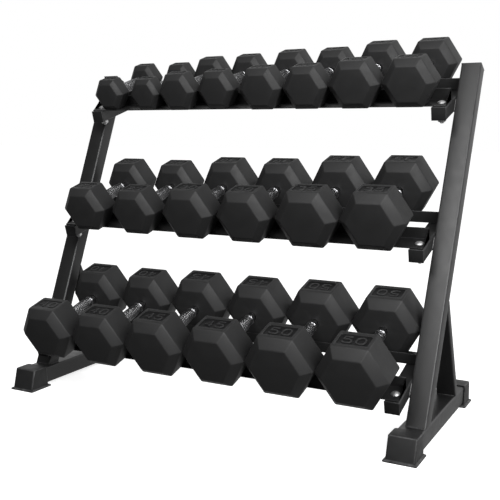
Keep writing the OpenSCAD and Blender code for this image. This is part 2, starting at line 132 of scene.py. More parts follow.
# ---------------------------------------------------------------- materials
class Nodes:
    """Short way to build a material's node tree."""

    def __init__(self, name):
        self.material = bpy.data.materials.new(name)
        self.material.use_nodes = True
        self.tree = self.material.node_tree
        self.shader = self.tree.nodes["Principled BSDF"]
        self.coord = self.tree.nodes.new("ShaderNodeTexCoord")

    def add(self, kind, inputs=None, **settings):
        node = self.tree.nodes.new("ShaderNode" + kind)
        for key, value in settings.items():
            setattr(node, key, value)
        for key, value in (inputs or {}).items():
            if isinstance(value, bpy.types.NodeSocket):
                self.tree.links.new(value, node.inputs[key])
            else:
                node.inputs[key].default_value = value
        return node

    def noise(self, scale, detail=3.0, roughness=0.55, vector=None):
        source = vector or self.coord.outputs["Object"]
        return self.add(
            "TexNoise", {"Vector": source, "Scale": scale, "Detail": detail, "Roughness": roughness}
        ).outputs["Fac"]

    def ramp(self, fac, low, high, a=0.35, b=0.65):
        """Maps fac between a and b to a colour or value between low and high."""
        node = self.add("ValToRGB", {"Fac": fac})
        for stop, place, value in zip(node.color_ramp.elements, (a, b), (low, high)):
            stop.position = place
            stop.color = (*value, 1) if isinstance(value, tuple) else (value, value, value, 1)
        return node.outputs["Color"]

    def mix(self, fac, a, b, mode="MIX"):
        node = self.add("MixRGB", blend_type=mode)
        for key, value in (("Fac", fac), ("Color1", a), ("Color2", b)):
            if isinstance(value, bpy.types.NodeSocket):
                self.tree.links.new(value, node.inputs[key])
            else:
                node.inputs[key].default_value = (*value, 1) if isinstance(value, tuple) else value
        return node.outputs["Color"]

    def math(self, operation, *values):
        node = self.add("Math", operation=operation)
        for slot, value in zip(node.inputs, values):
            if isinstance(value, bpy.types.NodeSocket):
                self.tree.links.new(value, slot)
            else:
                slot.default_value = value
        return node.outputs[0]

    def edges(self):
        """1 on convex rounded edges, 0 elsewhere, as stored on the mesh."""
        return self.add("Attribute", attribute_name="wear_and_highlight").outputs["Fac"]

    def bump(self, height, strength, distance, normal=None):
        inputs = {"Height": height, "Strength": strength, "Distance": distance}
        if normal:
            inputs["Normal"] = normal
        return self.add("Bump", inputs).outputs["Normal"]

    def finish(self, colour, roughness, normal=None, **values):
        sockets = {"Base Color": colour, "Roughness": roughness, "Normal": normal}
        for key, value in sockets.items():
            if isinstance(value, bpy.types.NodeSocket):
                self.tree.links.new(value, self.shader.inputs[key])
            elif value is not None:
                self.shader.inputs[key].default_value = (*value, 1) if isinstance(value, tuple) else value
        for key, value in values.items():
            self.shader.inputs[key.replace("_", " ")].default_value = value
        return self.material


def powder_coat():
    """Satin black powder coat: orange-peel skin, fine speckle, edges lightened for slight wear and a
    painted highlight.
    """
    n = Nodes("black_powder_coat")
    speckle = n.noise(1400, 2)
    cloud = n.noise(9, 3)
    colour = n.mix(cloud, (0.0122, 0.0122, 0.0124), (0.0145, 0.0145, 0.0147))
    colour = n.mix(n.ramp(speckle, 0.0, 0.35, 0.55, 0.75), colour, (0.032, 0.032, 0.033))
    # Edges lightened: partly slight wear, partly a painted highlight.
    wear_and_highlight = n.math("MULTIPLY", n.edges(), n.ramp(n.noise(60), 0.1, 0.6))
    colour = n.mix(wear_and_highlight, colour, (0.060, 0.060, 0.062))
    rough = n.ramp(n.noise(60, 3), 0.37, 0.43)
    peel = n.bump(n.noise(420, 2), 0.18, 0.0004)
    normal = n.bump(speckle, 0.12, 0.0002, peel)
    return n.finish(colour, rough, normal, Specular_IOR_Level=0.5)


def cap_plastic():
    """Moulded black plastic: fine spark-eroded grain, edges lightened for rubbing and a painted highlight.
    """
    n = Nodes("black_plastic")
    grain = n.noise(2200, 2)
    colour = n.mix(n.noise(20), (0.0115, 0.0115, 0.0118), (0.0165, 0.0165, 0.0168))
    # Edges lightened: partly rubbing, partly a painted highlight.
    wear_and_highlight = n.math("MULTIPLY", n.edges(), n.ramp(n.noise(90), 0.2, 0.9))
    colour = n.mix(wear_and_highlight, colour, (0.09, 0.09, 0.092))
    rough = n.ramp(n.noise(50, 3), 0.46, 0.58)
    normal = n.bump(grain, 0.25, 0.0002)
    return n.finish(colour, rough, normal, Specular_IOR_Level=0.4)


def head_rubber():
    """Matte moulded rubber: fine grain, faint bloom clouds, edges a little lighter for rubbing and a
    painted highlight.
    """
    n = Nodes("black_rubber")
    grain = n.noise(1800, 3, 0.6)
    bloom = n.noise(14, 4)
    colour = n.mix(bloom, (0.0165, 0.0165, 0.0168), (0.0225, 0.0225, 0.0228))
    # Edges lightened: partly rubbing, partly a painted highlight.
    wear_and_highlight = n.math("MULTIPLY", n.edges(), n.ramp(n.noise(70), 0.15, 0.7))
    colour = n.mix(wear_and_highlight, colour, (0.045, 0.045, 0.046))
    rough = n.ramp(n.noise(28, 4), 0.50, 0.62)
    skin = n.bump(n.noise(160, 3), 0.10, 0.0006)
    normal = n.bump(grain, 0.22, 0.00025, skin)
    return n.finish(colour, rough, normal, Specular_IOR_Level=0.35)


def panel_rubber():
    """The bed and walls of the recessed number panel: coloured darker than the head, smoother, with edges
    lightened for wear and a painted highlight.
    """
    n = Nodes("black_rubber_panel")
    grain = n.noise(2600, 2)
    colour = n.mix(n.noise(30), (0.0045, 0.0045, 0.0047), (0.0070, 0.0070, 0.0072))
    # Edges lightened: partly wear, partly a painted highlight.
    wear_and_highlight = n.math("MULTIPLY", n.edges(), n.ramp(n.noise(120), 0.5, 1.0))
    colour = n.mix(wear_and_highlight, colour, (0.060, 0.060, 0.061))
    rough = n.ramp(n.noise(40, 3), 0.46, 0.58)
    return n.finish(colour, rough, n.bump(grain, 0.15, 0.0002), Specular_IOR_Level=0.22)


def chrome_plain():
    """Plated steel: bright, with faint drag lines and smudges."""
    n = Nodes("chromed_steel")
    smudge = n.noise(45, 4)
    colour = n.mix(smudge, (0.38, 0.38, 0.39), (0.50, 0.50, 0.51))
    lines = n.add("Mapping", {"Vector": n.coord.outputs["Object"], "Scale": (1, 60, 1)}).outputs[0]
    rough = n.ramp(n.noise(50, 3, vector=lines), 0.20, 0.32)
    normal = n.bump(n.noise(30, 2, vector=lines), 0.04, 0.0002)
    return n.finish(colour, rough, normal, Metallic=1.0)


def chrome_knurl():
    """Diamond knurling, from the turned surface's angle and length in its UV map, with painted shade in its
    grooves.
    """
    n = Nodes("chromed_knurl")
    uv = n.add("SeparateXYZ", {"Vector": n.coord.outputs["UV"]})
    around = n.math("MULTIPLY", uv.outputs["X"], 2 * pi * 34)
    along = n.math("MULTIPLY", uv.outputs["Y"], 2 * pi * 330)
    one = n.math("ABSOLUTE", n.math("SINE", n.math("ADD", around, along)))
    two = n.math("ABSOLUTE", n.math("SINE", n.math("SUBTRACT", around, along)))
    height = n.math("MULTIPLY", one, two)
    groove = n.ramp(height, 0.0, 1.0, 0.05, 0.35)
    # Painted shade: the grooves of the knurl are coloured near black.
    colour = n.mix(groove, (0.045, 0.045, 0.046), (0.44, 0.44, 0.45))
    colour = n.mix(n.ramp(n.noise(60, 3), 0.0, 0.35), colour, (0.20, 0.20, 0.205))
    rough = n.ramp(height, 0.42, 0.24, 0.05, 0.5)
    return n.finish(colour, rough, n.bump(height, 0.75, 0.0006), Metallic=1.0)


def cast_iron():
    """Raw grey iron of the cores inside the heads."""
    n = Nodes("cast_iron")
    colour = n.mix(n.noise(60, 5), (0.09, 0.088, 0.085), (0.15, 0.147, 0.143))
    rough = n.ramp(n.noise(90), 0.6, 0.8)
    return n.finish(colour, rough, n.bump(n.noise(500, 4), 0.5, 0.0006), Metallic=0.7)


def zinc():
    """Zinc-plated fasteners: pale grey with soft blotches."""
    n = Nodes("zinc_steel")
    colour = n.mix(n.noise(180, 4), (0.72, 0.72, 0.72), (0.84, 0.84, 0.84))
    rough = n.ramp(n.noise(240, 3), 0.42, 0.56)
    return n.finish(colour, rough, n.bump(n.noise(900, 2), 0.08, 0.0002), Metallic=1.0)


def floor_material():
    n = Nodes("pale_floor")
    colour = n.mix(n.noise(3, 2), (0.80, 0.80, 0.80), (0.82, 0.82, 0.82))
    n.shader.inputs["Emission Color"].default_value = (1, 1, 1, 1)
    return n.finish(colour, 0.9, Specular_IOR_Level=0.0, Emission_Strength=0.80)


COAT = powder_coat()
PLASTIC = cap_plastic()
RUBBER = head_rubber()
PANEL = panel_rubber()
CHROME = chrome_plain()
KNURL = chrome_knurl()
IRON = cast_iron()
ZINC = zinc()


# ---------------------------------------------------------------- mesh helpers
def make(name, bm, materials, body, nodes, slot, matrix=None, smooth=True):
    """Turns a bmesh into a piece that rides on a body and stands for CAD nodes."""
    mesh = bpy.data.meshes.new(name)
    bmesh.ops.recalc_face_normals(bm, faces=bm.faces)
    bm.to_mesh(mesh)
    bm.free()
    return place(name, mesh, materials, body, nodes, slot, matrix, smooth)


def place(name, mesh, materials, body, nodes, slot, matrix=None, smooth=True):
    for material in materials:
        if mesh.materials.find(material.name) < 0:
            mesh.materials.append(material)
    if smooth:
        mesh.shade_smooth()
        mesh.set_sharp_from_angle(angle=SHARP_ANGLE)
    piece = bpy.data.objects.new(name, mesh)
    bpy.context.scene.collection.objects.link(piece)
    mark_edges(mesh)
    if matrix is not None:
        piece.matrix_world = matrix
    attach(piece, body)
    if nodes:
        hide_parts(*nodes)
    return piece


def mark_edges(mesh):
    """Stores 1 on convex rounded edges and 0 on open faces, for the materials' edge wear and painted edge
    highlight.
    """
    if mesh.attributes.get("wear_and_highlight"):
        return
    bm = bmesh.new()
    bm.from_mesh(mesh)
    values = []
    for vert in bm.verts:
        normals, wide = [], False
        for face in vert.link_faces:
            longest = max(edge.calc_length() for edge in face.edges)
            wide = wide or face.calc_area() > 0.003 * longest
            normals.append(face.normal)
        spread = max((1 - a.dot(b) for a in normals for b in normals), default=0)
        around = sum((edge.other_vert(vert).co for edge in vert.link_edges), Vector())
        convex = (around / max(len(vert.link_edges), 1) - vert.co).dot(vert.normal) < 0
        values.append(min(spread / 0.12, 1) if convex and not wide else 0.0)
    bm.free()
    mesh.attributes.new("wear_and_highlight", "FLOAT", "POINT").data.foreach_set("value", values)


def add_ring(bm, points):
    return [bm.verts.new(p) for p in points]


def bridge(bm, a, b, material=0):
    for i in range(len(a)):
        j = (i + 1) % len(a)
        bm.faces.new((a[i], a[j], b[j], b[i])).material_index = material


def arc(cx, cy, rx, ry, a0, a1, steps=10):
    """Points on an ellipse about (cx, cy), from a0 to a1 degrees."""
    angles = [radians(a0 + (a1 - a0) * i / steps) for i in range(steps + 1)]
    return [(cx + rx * cos(a), cy + ry * sin(a)) for a in angles]


def rounded_rectangle(half_u, half_v, radius, steps=4, centre=(0.0, 0.0)):
    """Points of a rectangle with round corners, as (u, v) pairs."""
    points = []
    for k, (su, sv) in enumerate(((1, 1), (-1, 1), (-1, -1), (1, -1))):
        for i in range(steps + 1):
            a = pi / 2 * (k + i / steps)
            points.append(
                (
                    centre[0] + su * (half_u - radius) + radius * cos(a),
                    centre[1] + sv * (half_v - radius) + radius * sin(a),
                )
            )
    return points


def tube(bm, centre, u, v, half_u, half_v, radius, low, high, wall=WALL):
    """A hollow rectangular tube with round corners, cut by two planes given as (point, normal).
    u and v are its unit cross directions; it runs along u x v."""
    run = u.cross(v)
    rings = []
    for inset in (0.0, wall):
        outline = rounded_rectangle(half_u - inset, half_v - inset, max(radius - inset, 0.0008))
        start = [centre + a * u + b * v for a, b in outline]
        for point, normal in (low, high):
            rings.append(
                add_ring(bm, [p + run * ((point - p).dot(normal) / run.dot(normal)) for p in start])
            )
    outer_low, outer_high, inner_low, inner_high = rings
    bridge(bm, outer_low, outer_high)
    bridge(bm, outer_high, inner_high)
    bridge(bm, inner_high, inner_low)
    bridge(bm, inner_low, outer_low)


def lathe(bm, profile, segments=32, axis="Z", material=0, uv=None, matrix=Matrix.Identity(4)):
    """Turns a profile of (radius, length) points about an axis. uv gets (turn, length) if given."""
    rings = []
    for r, along in profile:
        if r < 1e-7:
            point = Vector((0, 0, along)) if axis == "Z" else Vector((0, along, 0))
            rings.append([bm.verts.new(matrix @ point)])
            continue
        ring = []
        for i in range(segments):
            a = 2 * pi * i / segments
            point = (r * cos(a), r * sin(a), along) if axis == "Z" else (r * cos(a), along, r * sin(a))
            ring.append(bm.verts.new(matrix @ Vector(point)))
        rings.append(ring)
    for k in range(len(rings) - 1):
        a, b = rings[k], rings[k + 1]
        for i in range(segments):
            j = (i + 1) % segments
            if len(a) == 1:
                face = bm.faces.new((a[0], b[j], b[i]))
            elif len(b) == 1:
                face = bm.faces.new((a[i], a[j], b[0]))
            else:
                face = bm.faces.new((a[i], a[j], b[j], b[i]))
                if uv is not None:
                    corners = ((i, k), (i + 1, k), (i + 1, k + 1), (i, k + 1))
                    for loop, (turn, row) in zip(face.loops, corners):
                        loop[uv].uv = (turn / segments, profile[row][1])
            face.material_index = material


def bevelled_box(bm, low, high, radius, segments=3, matrix=Matrix.Identity(4)):
    """A box between two corners with all its edges rounded."""
    made = bmesh.ops.create_cube(bm, size=1)["verts"]
    centre, size = (low + high) / 2, high - low
    for vert in made:
        vert.co = Vector([centre[k] + vert.co[k] * size[k] for k in range(3)])
    edges = list({e for vert in made for e in vert.link_edges})
    result = bmesh.ops.bevel(
        bm, geom=edges, offset=radius, segments=segments, profile=0.5, affect="EDGES"
    )
    corners = {vert for face in result["faces"] for vert in face.verts}
    for vert in corners:
        vert.co = matrix @ vert.co


def weld_bead(bm, start, end, radius, seed=0):
    """A rippled weld bead between two points."""
    run = end - start
    steps = max(int(run.length / 0.0022), 4)
    side = run.orthogonal().normalized()
    other = run.normalized().cross(side)
    rings = []
    for i in range(steps + 1):
        f = i / steps
        ripple = 1 + 0.14 * sin(2 * pi * i / 2.0 + seed) + 0.06 * sin(i * 1.7 + seed)
        r = radius * ripple * min(1, 5 * f + 0.25, 5 * (1 - f) + 0.25)
        middle = start + run * f
        rings.append(
            add_ring(
                bm,
                [middle + r * (cos(a) * side + sin(a) * other) for a in [2 * pi * k / 8 for k in range(8)]],
            )
        )
    for a, b in zip(rings, rings[1:]):
        bridge(bm, a, b)
    bm.faces.new(rings[0])
    bm.faces.new(rings[-1])


# ---------------------------------------------------------------- side frames
X, Y, Z = Vector((1, 0, 0)), Vector((0, 1, 0)), Vector((0, 0, 1))
UP_RUN = Vector((0, sin(LEAN), cos(LEAN)))
UP_BACK = Vector((0, cos(LEAN), -sin(LEAN)))
FLOOR_OF_FRAME = (rack(0, BASE_TOP), Z)
UP_REAR = (rack(UP_Y, BASE_TOP) + UP_D * UP_BACK, UP_BACK)


def base_tube(side, name):
    bm = bmesh.new()
    centre = rack(0, BASE_Z + BASE_H / 2, side * (HALF_W - BASE_W / 2))
    tube(
        bm, centre, Z, X, BASE_H / 2, BASE_W / 2, TUBE_CORNER,
        (rack(0, 0), Y), (rack(BASE_L, 0), Y),
    )
    make(name + "_base_tube_coated", bm, [COAT], "rack", [name + "_base_tube"], "black_powder_coat")


def upright(side, name):
    bm = bmesh.new()
    x = side * (HALF_W - UP_W / 2)
    centre = rack(UP_Y, BASE_TOP, x) + UP_BACK * UP_D / 2
    top = rack(UP_Y, BASE_TOP) + UP_RUN * (UP_L - TOP_CAP)
    tube(bm, centre, X, UP_BACK, UP_W / 2, UP_D / 2, TUBE_CORNER, FLOOR_OF_FRAME, (top, UP_RUN))
    front = rack(UP_Y, BASE_TOP, x)
    back = front + Y * UP_D / cos(LEAN)
    half = X * (UP_W / 2 - WELD_INSET)
    weld_bead(bm, front - half, front + half, WELD_R, 1)
    weld_bead(bm, back - half, back + half, WELD_R, 2)
    inner = X * (-side * UP_W / 2)
    weld_bead(bm, front + inner + Y * WALL, back + inner - Y * WALL, WELD_R, 3)
    make(name + "_upright_coated", bm, [COAT], "rack", [name + "_upright"], "black_powder_coat")


def rear_brace(side, name):
    head = rack(0, BRACE_Z)
    head.y = UP_REAR[0].y + (BRACE_Z - UP_REAR[0].z) * tan(LEAN)
    foot = rack(BRACE_Y, BASE_TOP)
    run = (head - foot).normalized()
    forward = X.cross(run)
    if forward.y > 0:
        forward = -forward
    bm = bmesh.new()
    x = X * side * (HALF_W - UP_W / 2)
    centre = foot + forward * BRACE_D / 2 + x
    tube(bm, centre, X, -forward, UP_W / 2, BRACE_D / 2, SLIM_CORNER, FLOOR_OF_FRAME, UP_REAR)
    half = X * (UP_W / 2 - WELD_INSET)
    weld_bead(bm, foot + x - half, foot + x + half, FINE_WELD_R, 4)
    weld_bead(bm, head + x - half, head + x + half, FINE_WELD_R, 5)
    land = foot + x - Y * BRACE_D / abs(run.z)
    weld_bead(bm, land - half, land + half, FINE_WELD_R, 6)
    make(name + "_rear_brace_coated", bm, [COAT], "rack", [name + "_rear_brace"], "black_powder_coat")


def shelf_arms(side, name):
    bm = bmesh.new()
    for tier in range(3):
        m = shelf_matrix(tier)
        u, v = X, (m.to_3x3() @ Z)
        along = m.to_3x3() @ Y
        centre = m @ Vector((side * ARM_X, 0, -ARM_H / 2))
        low, high = m @ Vector((0, PLUG, 0)), m @ Vector((0, ARM_L - PLUG, 0))
        tube(bm, centre, v, u, ARM_H / 2, ARM_W / 2, SLIM_CORNER, (low, along), (high, along))
        edge_x = side * (HALF_W - UP_W)
        for h in (-0.001, -ARM_H + 0.001):
            start, end = upright_span(tier, h)
            near, far = Vector((edge_x, start + 0.004, h)), Vector((edge_x, end - 0.004, h))
            weld_bead(bm, m @ near, m @ far, FINE_WELD_R, tier)
        low_h, high_h = -ARM_H + WELD_INSET, -WELD_INSET
        foot = Vector((edge_x, upright_span(tier, low_h)[0], low_h))
        head = Vector((edge_x, upright_span(tier, high_h)[0], high_h))
        weld_bead(bm, m @ foot, m @ head, FINE_WELD_R, tier + 3)
    make(name + "_shelf_arms_coated", bm, [COAT], "rack", [name + "_shelf_arms"], "black_powder_coat")


def upright_span(tier, h):
    """Where the upright's front and rear faces cross the arm's side at height h, as s."""
    m = shelf_matrix(tier)
    origin, along = m @ Vector((0, 0, h)), m.to_3x3() @ Y
    front = rack(UP_Y, BASE_TOP)
    s0 = (front - origin).dot(UP_BACK) / along.dot(UP_BACK)
    s1 = (front + UP_D * UP_BACK - origin).dot(UP_BACK) / along.dot(UP_BACK)
    return s0, s1


# ---------------------------------------------------------------- rails
def rail_outline():
    """Angle section: (depth behind the flat leg's front edge, height), corners rounded."""
    tip = 0.0011
    bend = 0.004
    inner = 0.0016
    points = arc(tip, tip, tip, tip, 180, 270, 3)
    points += arc(RAIL_FLAT - bend, bend, bend, bend, 270, 360, 6)
    points += arc(RAIL_FLAT - tip, RAIL_STAND - tip, tip, tip, 0, 90, 3)
    points += arc(RAIL_FLAT - RAIL_T + tip, RAIL_STAND - tip, tip, tip, 90, 180, 3)
    points += arc(RAIL_FLAT - RAIL_T - inner, RAIL_T + inner, inner, inner, 0, -90, 4)
    points += arc(tip, RAIL_T - tip, tip, tip, 90, 180, 3)
    return points


def rail(tier, rear):
    bm = bmesh.new()
    m = shelf_matrix(tier)
    rings = []
    burr = 0.0006
    inner = RAIL_HALF_L - burr
    ends = ((-RAIL_HALF_L, burr), (-inner, 0.0), (inner, 0.0), (RAIL_HALF_L, burr))
    for x, shrink in ends:
        points = []
        for d, h in rail_outline():
            h = h + (shrink if h < 0.0005 else 0) - (shrink if h > RAIL_STAND - 0.0005 else 0)
            d = d + (shrink if d < 0.0005 else 0) - (shrink if d > RAIL_FLAT - 0.0005 else 0)
            s = RAIL_BACK_S - d if rear else RAIL_FRONT_S + d
            points.append(m @ Vector((x, s, h)))
        rings.append(add_ring(bm, points))
    for a, b in zip(rings, rings[1:]):
        bridge(bm, a, b)
    bm.faces.new(rings[0])
    bm.faces.new(rings[-1])
    node = TIERS[tier] + ("_rear_rail" if rear else "_front_rail")
    make(node + "_coated", bm, [COAT], "rack", [node], "black_powder_coat")


# ---------------------------------------------------------------- feet, caps and plugs
def cap_shell(bm, side, rear):
    """Closed outer form of a foot cap: flange, leaning sides and soft top edges."""
    nose = CAP_TAIL if rear else CAP_NOSE
    half = BASE_W / 2 + CAP_WALL
    top = BASE_TOP + CAP_WALL
    x = side * (HALF_W - BASE_W / 2)
    rows = [(0.0, CAP_FLANGE - 0.001, 0.003), (0.001, CAP_FLANGE, 0.003), (0.0036, CAP_FLANGE, 0.003)]
    rows += [(0.0048, CAP_FLANGE - 0.0014, 0.0034), (0.0052, 0.0012, 0.004), (0.0062, 0.0, 0.0045)]
    for i in range(5):
        a = pi / 2 * i / 4
        rows.append((top - 0.003 + 0.003 * sin(a), -0.003 * (1 - cos(a)), 0.0045))
    rings = []
    for z, grow, radius in rows:
        lean = max(0.0, 1 - max(z - 0.005, 0) / (top - 0.005))
        y0 = -nose * lean - grow
        y1 = CAP_L + 0.005 * lean + grow
        outline = rounded_rectangle(half + grow, (y1 - y0) / 2, radius, 4, (x, (y0 + y1) / 2))
        if rear:
            outline = [(u, BASE_L + 2 * CAP_WALL - v) for u, v in outline]
        rings.append(add_ring(bm, [rack(v - CAP_WALL, z, u) for u, v in outline]))
    for a, b in zip(rings, rings[1:]):
        bridge(bm, a, b)
    bm.faces.new(rings[0])
    bm.faces.new(rings[-1])


def carve(piece, cutter_bm):
    """Cuts a closed form out of a piece and keeps the result as plain mesh."""
    mesh = bpy.data.meshes.new("cutter")
    bmesh.ops.recalc_face_normals(cutter_bm, faces=cutter_bm.faces)
    cutter_bm.to_mesh(mesh)
    cutter_bm.free()
    cutter = bpy.data.objects.new("cutter", mesh)
    bpy.context.scene.collection.objects.link(cutter)
    modifier = piece.modifiers.new("cut", "BOOLEAN")
    modifier.operation = "DIFFERENCE"
    modifier.solver = "EXACT"
    modifier.object = cutter
    graph = bpy.context.evaluated_depsgraph_get()
    result = bpy.data.meshes.new_from_object(piece.evaluated_get(graph))
    piece.modifiers.remove(modifier)
    piece.data = result
    bpy.data.objects.remove(cutter)


def sleeve_hollow(bm, side, rear):
    """The stepped space inside a foot cap: the tube's seat, and a wider mouth round it."""
    x = side * (HALF_W - BASE_W / 2)
    mouth = CAP_L - CAP_WALL
    rings = []
    step = mouth - MOUTH_L
    rows = ((0.0, CAP_PLAY), (step, CAP_PLAY), (step, MOUTH_GAP), (mouth + 0.02, MOUTH_GAP))
    for y, play in rows:
        along = BASE_L - y if rear else y
        half = BASE_W / 2 + play
        corners = ((-half, BASE_Z), (half, BASE_Z), (half, BASE_TOP + play), (-half, BASE_TOP + play))
        rings.append(add_ring(bm, [rack(along, z, x + u) for u, z in corners]))
    for first, second in zip(rings, rings[1:]):
        bridge(bm, first, second)
    bm.faces.new(rings[0])
    bm.faces.new(rings[-1])


def foot_caps():
    bm = bmesh.new()
    cutter = bmesh.new()
    for side in (-1, 1):
        for rear in (False, True):
            cap_shell(bm, side, rear)
            sleeve_hollow(cutter, side, rear)
    piece = make("foot_caps_moulded", bm, [PLASTIC], "rack", ["foot_caps"], "black_plastic")
    carve(piece, cutter)
    piece.data.set_sharp_from_angle(angle=SHARP_ANGLE)


def top_caps():
    bm = bmesh.new()
    for side in (-1, 1):
        m = Matrix.Translation(rack(UP_Y, BASE_TOP)) @ Matrix.Rotation(-LEAN, 4, "X")
        x = side * (HALF_W - UP_W / 2)
        low = Vector((x - UP_W / 2, 0, UP_L - TOP_CAP))
        high = Vector((x + UP_W / 2, UP_D, UP_L))
        bevelled_box(bm, low, high, 0.0011, 3, m)
        half = UP_W / 2 - TONGUE_INSET
        reach = Vector((x - half, TONGUE_INSET, UP_L - TOP_CAP - TONGUE_L))
        end = Vector((x + half, UP_D - TONGUE_INSET, UP_L - TOP_CAP + TONGUE_LAP))
        bevelled_box(bm, reach, end, 0.0008, 2, m)
    make("upright_top_caps_moulded", bm, [PLASTIC], "rack", ["upright_top_caps"], "black_plastic")


def end_plugs():
    bm = bmesh.new()
    for tier in range(3):
        m = shelf_matrix(tier)
        for side in (-1, 1):
            x = side * ARM_X
            half = ARM_W / 2 - TONGUE_INSET
            rear = ARM_L - PLUG
            for s0, s1, i0, i1 in (
                (0, PLUG, PLUG - TONGUE_LAP, PLUG + TONGUE_L),
                (rear, ARM_L, rear - TONGUE_L, rear + TONGUE_LAP),
            ):
                low, high = Vector((x - ARM_W / 2, s0, -ARM_H)), Vector((x + ARM_W / 2, s1, 0))
                bevelled_box(bm, low, high, 0.001, 3, m)
                low = Vector((x - half, i0, -ARM_H + TONGUE_INSET))
                high = Vector((x + half, i1, -TONGUE_INSET))
                bevelled_box(bm, low, high, 0.0008, 2, m)
    make("arm_end_plugs_moulded", bm, [PLASTIC], "rack", ["arm_end_plugs"], "black_plastic")


# ---------------------------------------------------------------- fasteners
def at_bolts():
    for tier in range(3):
        for x in (-ARM_X, ARM_X):
            for s in BOLT_S:
                yield shelf_matrix(tier) @ Matrix.Translation((x, s, 0))


def bolt_profile():
    """Thread tip, shank and domed head with a thin rim, from the bottom up."""
    reach = ARM_H + WASHER_T + NUT_H + THREAD_END
    r = BOLT_D / 2
    profile = [(0.0, -reach), (r - 0.0012, -reach), (r - 0.0004, -reach + 0.0008)]
    z = -reach + 0.0012
    while z < -ARM_H - WASHER_T - NUT_H + 0.001:
        profile += [(r, z), (r - 0.0007, z + THREAD_PITCH / 2)]
        z += THREAD_PITCH
    profile += [(r, z), (r, RAIL_T)]
    rim = 0.0009
    half = BOLT_HEAD_D / 2
    height = BOLT_HEAD_H - rim
    dome = (half * half + height * height) / (2 * height)
    reach_a = asin(half / dome)
    profile += [(half - 0.0004, RAIL_T), (half, RAIL_T + 0.0003), (half, RAIL_T + rim)]
    for i in range(9, -1, -1):
        a = reach_a * i / 10
        profile.append((dome * sin(a), RAIL_T + BOLT_HEAD_H - dome + dome * cos(a)))
    return profile


def fasteners():
    bm = bmesh.new()
    for m in at_bolts():
        lathe(bm, bolt_profile(), 32, matrix=m)
    make("rail_bolts_plated", bm, [ZINC], "rack", ["rail_bolts"], "zinc_steel")

    bm = bmesh.new()
    r0, r1 = BOLT_D / 2 + 0.0003, WASHER_D / 2
    for m in at_bolts():
        ring = [(r0, 0.0), (r1 - 0.0003, 0.0), (r1, -0.0003), (r1, -WASHER_T + 0.0003)]
        ring += [(r1 - 0.0003, -WASHER_T), (r0, -WASHER_T), (r0, 0.0)]
        lathe(bm, ring, 32, matrix=m @ Matrix.Translation((0, 0, -ARM_H)))
    bmesh.ops.remove_doubles(bm, verts=bm.verts, dist=1e-6)
    make("rail_washers_plated", bm, [ZINC], "rack", ["rail_washers"], "zinc_steel")

    bm = bmesh.new()
    for m in at_bolts():
        hex_nut(bm, m @ Matrix.Translation((0, 0, -ARM_H - WASHER_T - NUT_H)))
    make("rail_nuts_plated", bm, [ZINC], "rack", ["rail_nuts"], "zinc_steel")


def hex_nut(bm, m, segments=36):
    """A hex nut whose corners are turned down by a cone at both ends."""
    flat = NUT_AF / 2
    bore = BOLT_D / 2 + 0.0001

    def ring(z, limit):
        points = []
        for i in range(segments):
            a = 2 * pi * i / segments
            to_flat = (a + pi / 6) % (pi / 3) - pi / 6
            r = min(flat / cos(to_flat), limit)
            points.append(m @ Vector((r * cos(a), r * sin(a), z)))
        return add_ring(bm, points)

    def hole(z):
        turns = [2 * pi * i / segments for i in range(segments)]
        return add_ring(bm, [m @ Vector((bore * cos(a), bore * sin(a), z)) for a in turns])

    corner, face, cone = flat / cos(pi / 6), flat * 0.96, 0.0011
    rings = [hole(0), ring(0, face), ring(cone, corner)]
    rings += [ring(NUT_H - cone, corner), ring(NUT_H, face), hole(NUT_H)]
    for a, b in zip(rings, rings[1:]):
        bridge(bm, a, b)
    bridge(bm, rings[-1], rings[0])


# ---------------------------------------------------------------- dumbbells
def digit_strokes(digit):
    """Open or closed paths of a numeral in a box 1 wide and 2 high."""
    shapes = {
        "0": [arc(0.5, 1.35, 0.5, 0.65, 0, 180) + arc(0.5, 0.65, 0.5, 0.65, 180, 360) + [(1.0, 1.35)]],
        "1": [[(0.15, 1.55), (0.55, 2.0), (0.55, 0.0)]],
        "2": [arc(0.5, 1.45, 0.5, 0.55, 160, -25) + [(0.0, 0.0), (1.0, 0.0)]],
        "3": [arc(0.45, 1.5, 0.5, 0.5, 150, -80) + arc(0.45, 0.52, 0.55, 0.52, 80, -150)],
        "4": [[(0.75, 0.0), (0.75, 2.0), (0.0, 0.62), (1.0, 0.62)]],
        "5": [[(0.95, 2.0), (0.12, 2.0), (0.05, 1.15)] + arc(0.45, 0.62, 0.55, 0.62, 110, -150, 14)],
    }
    return shapes[digit]


def raised_path(bm, points, width, low, high):
    """A flat-topped, bevel-sided ridge that follows a path in the plane of the panel."""
    count = len(points)
    rings = []
    for i, point in enumerate(points):
        before = points[max(i - 1, 0)]
        after = points[min(i + 1, count - 1)]
        along = (after - before).normalized()
        across = Vector((-along.y, along.x))
        rows = [(-width / 2, low), (-width / 2 * 0.72, high), (width / 2 * 0.72, high), (width / 2, low)]
        rings.append(add_ring(bm, [(point.x + across.x * w, point.y + across.y * w, z) for w, z in rows]))
    for a, b in zip(rings, rings[1:]):
        for k in range(3):
            bm.faces.new((a[k], a[k + 1], b[k + 1], b[k]))
    for end in (rings[0], rings[-1]):
        bm.faces.new(end)


def hexagon(bm, corner, y):
    """A ring of six points about the Y axis, flat side up."""
    return add_ring(bm, [(corner * cos(pi / 3 * i), y, corner * sin(pi / 3 * i)) for i in range(6)])


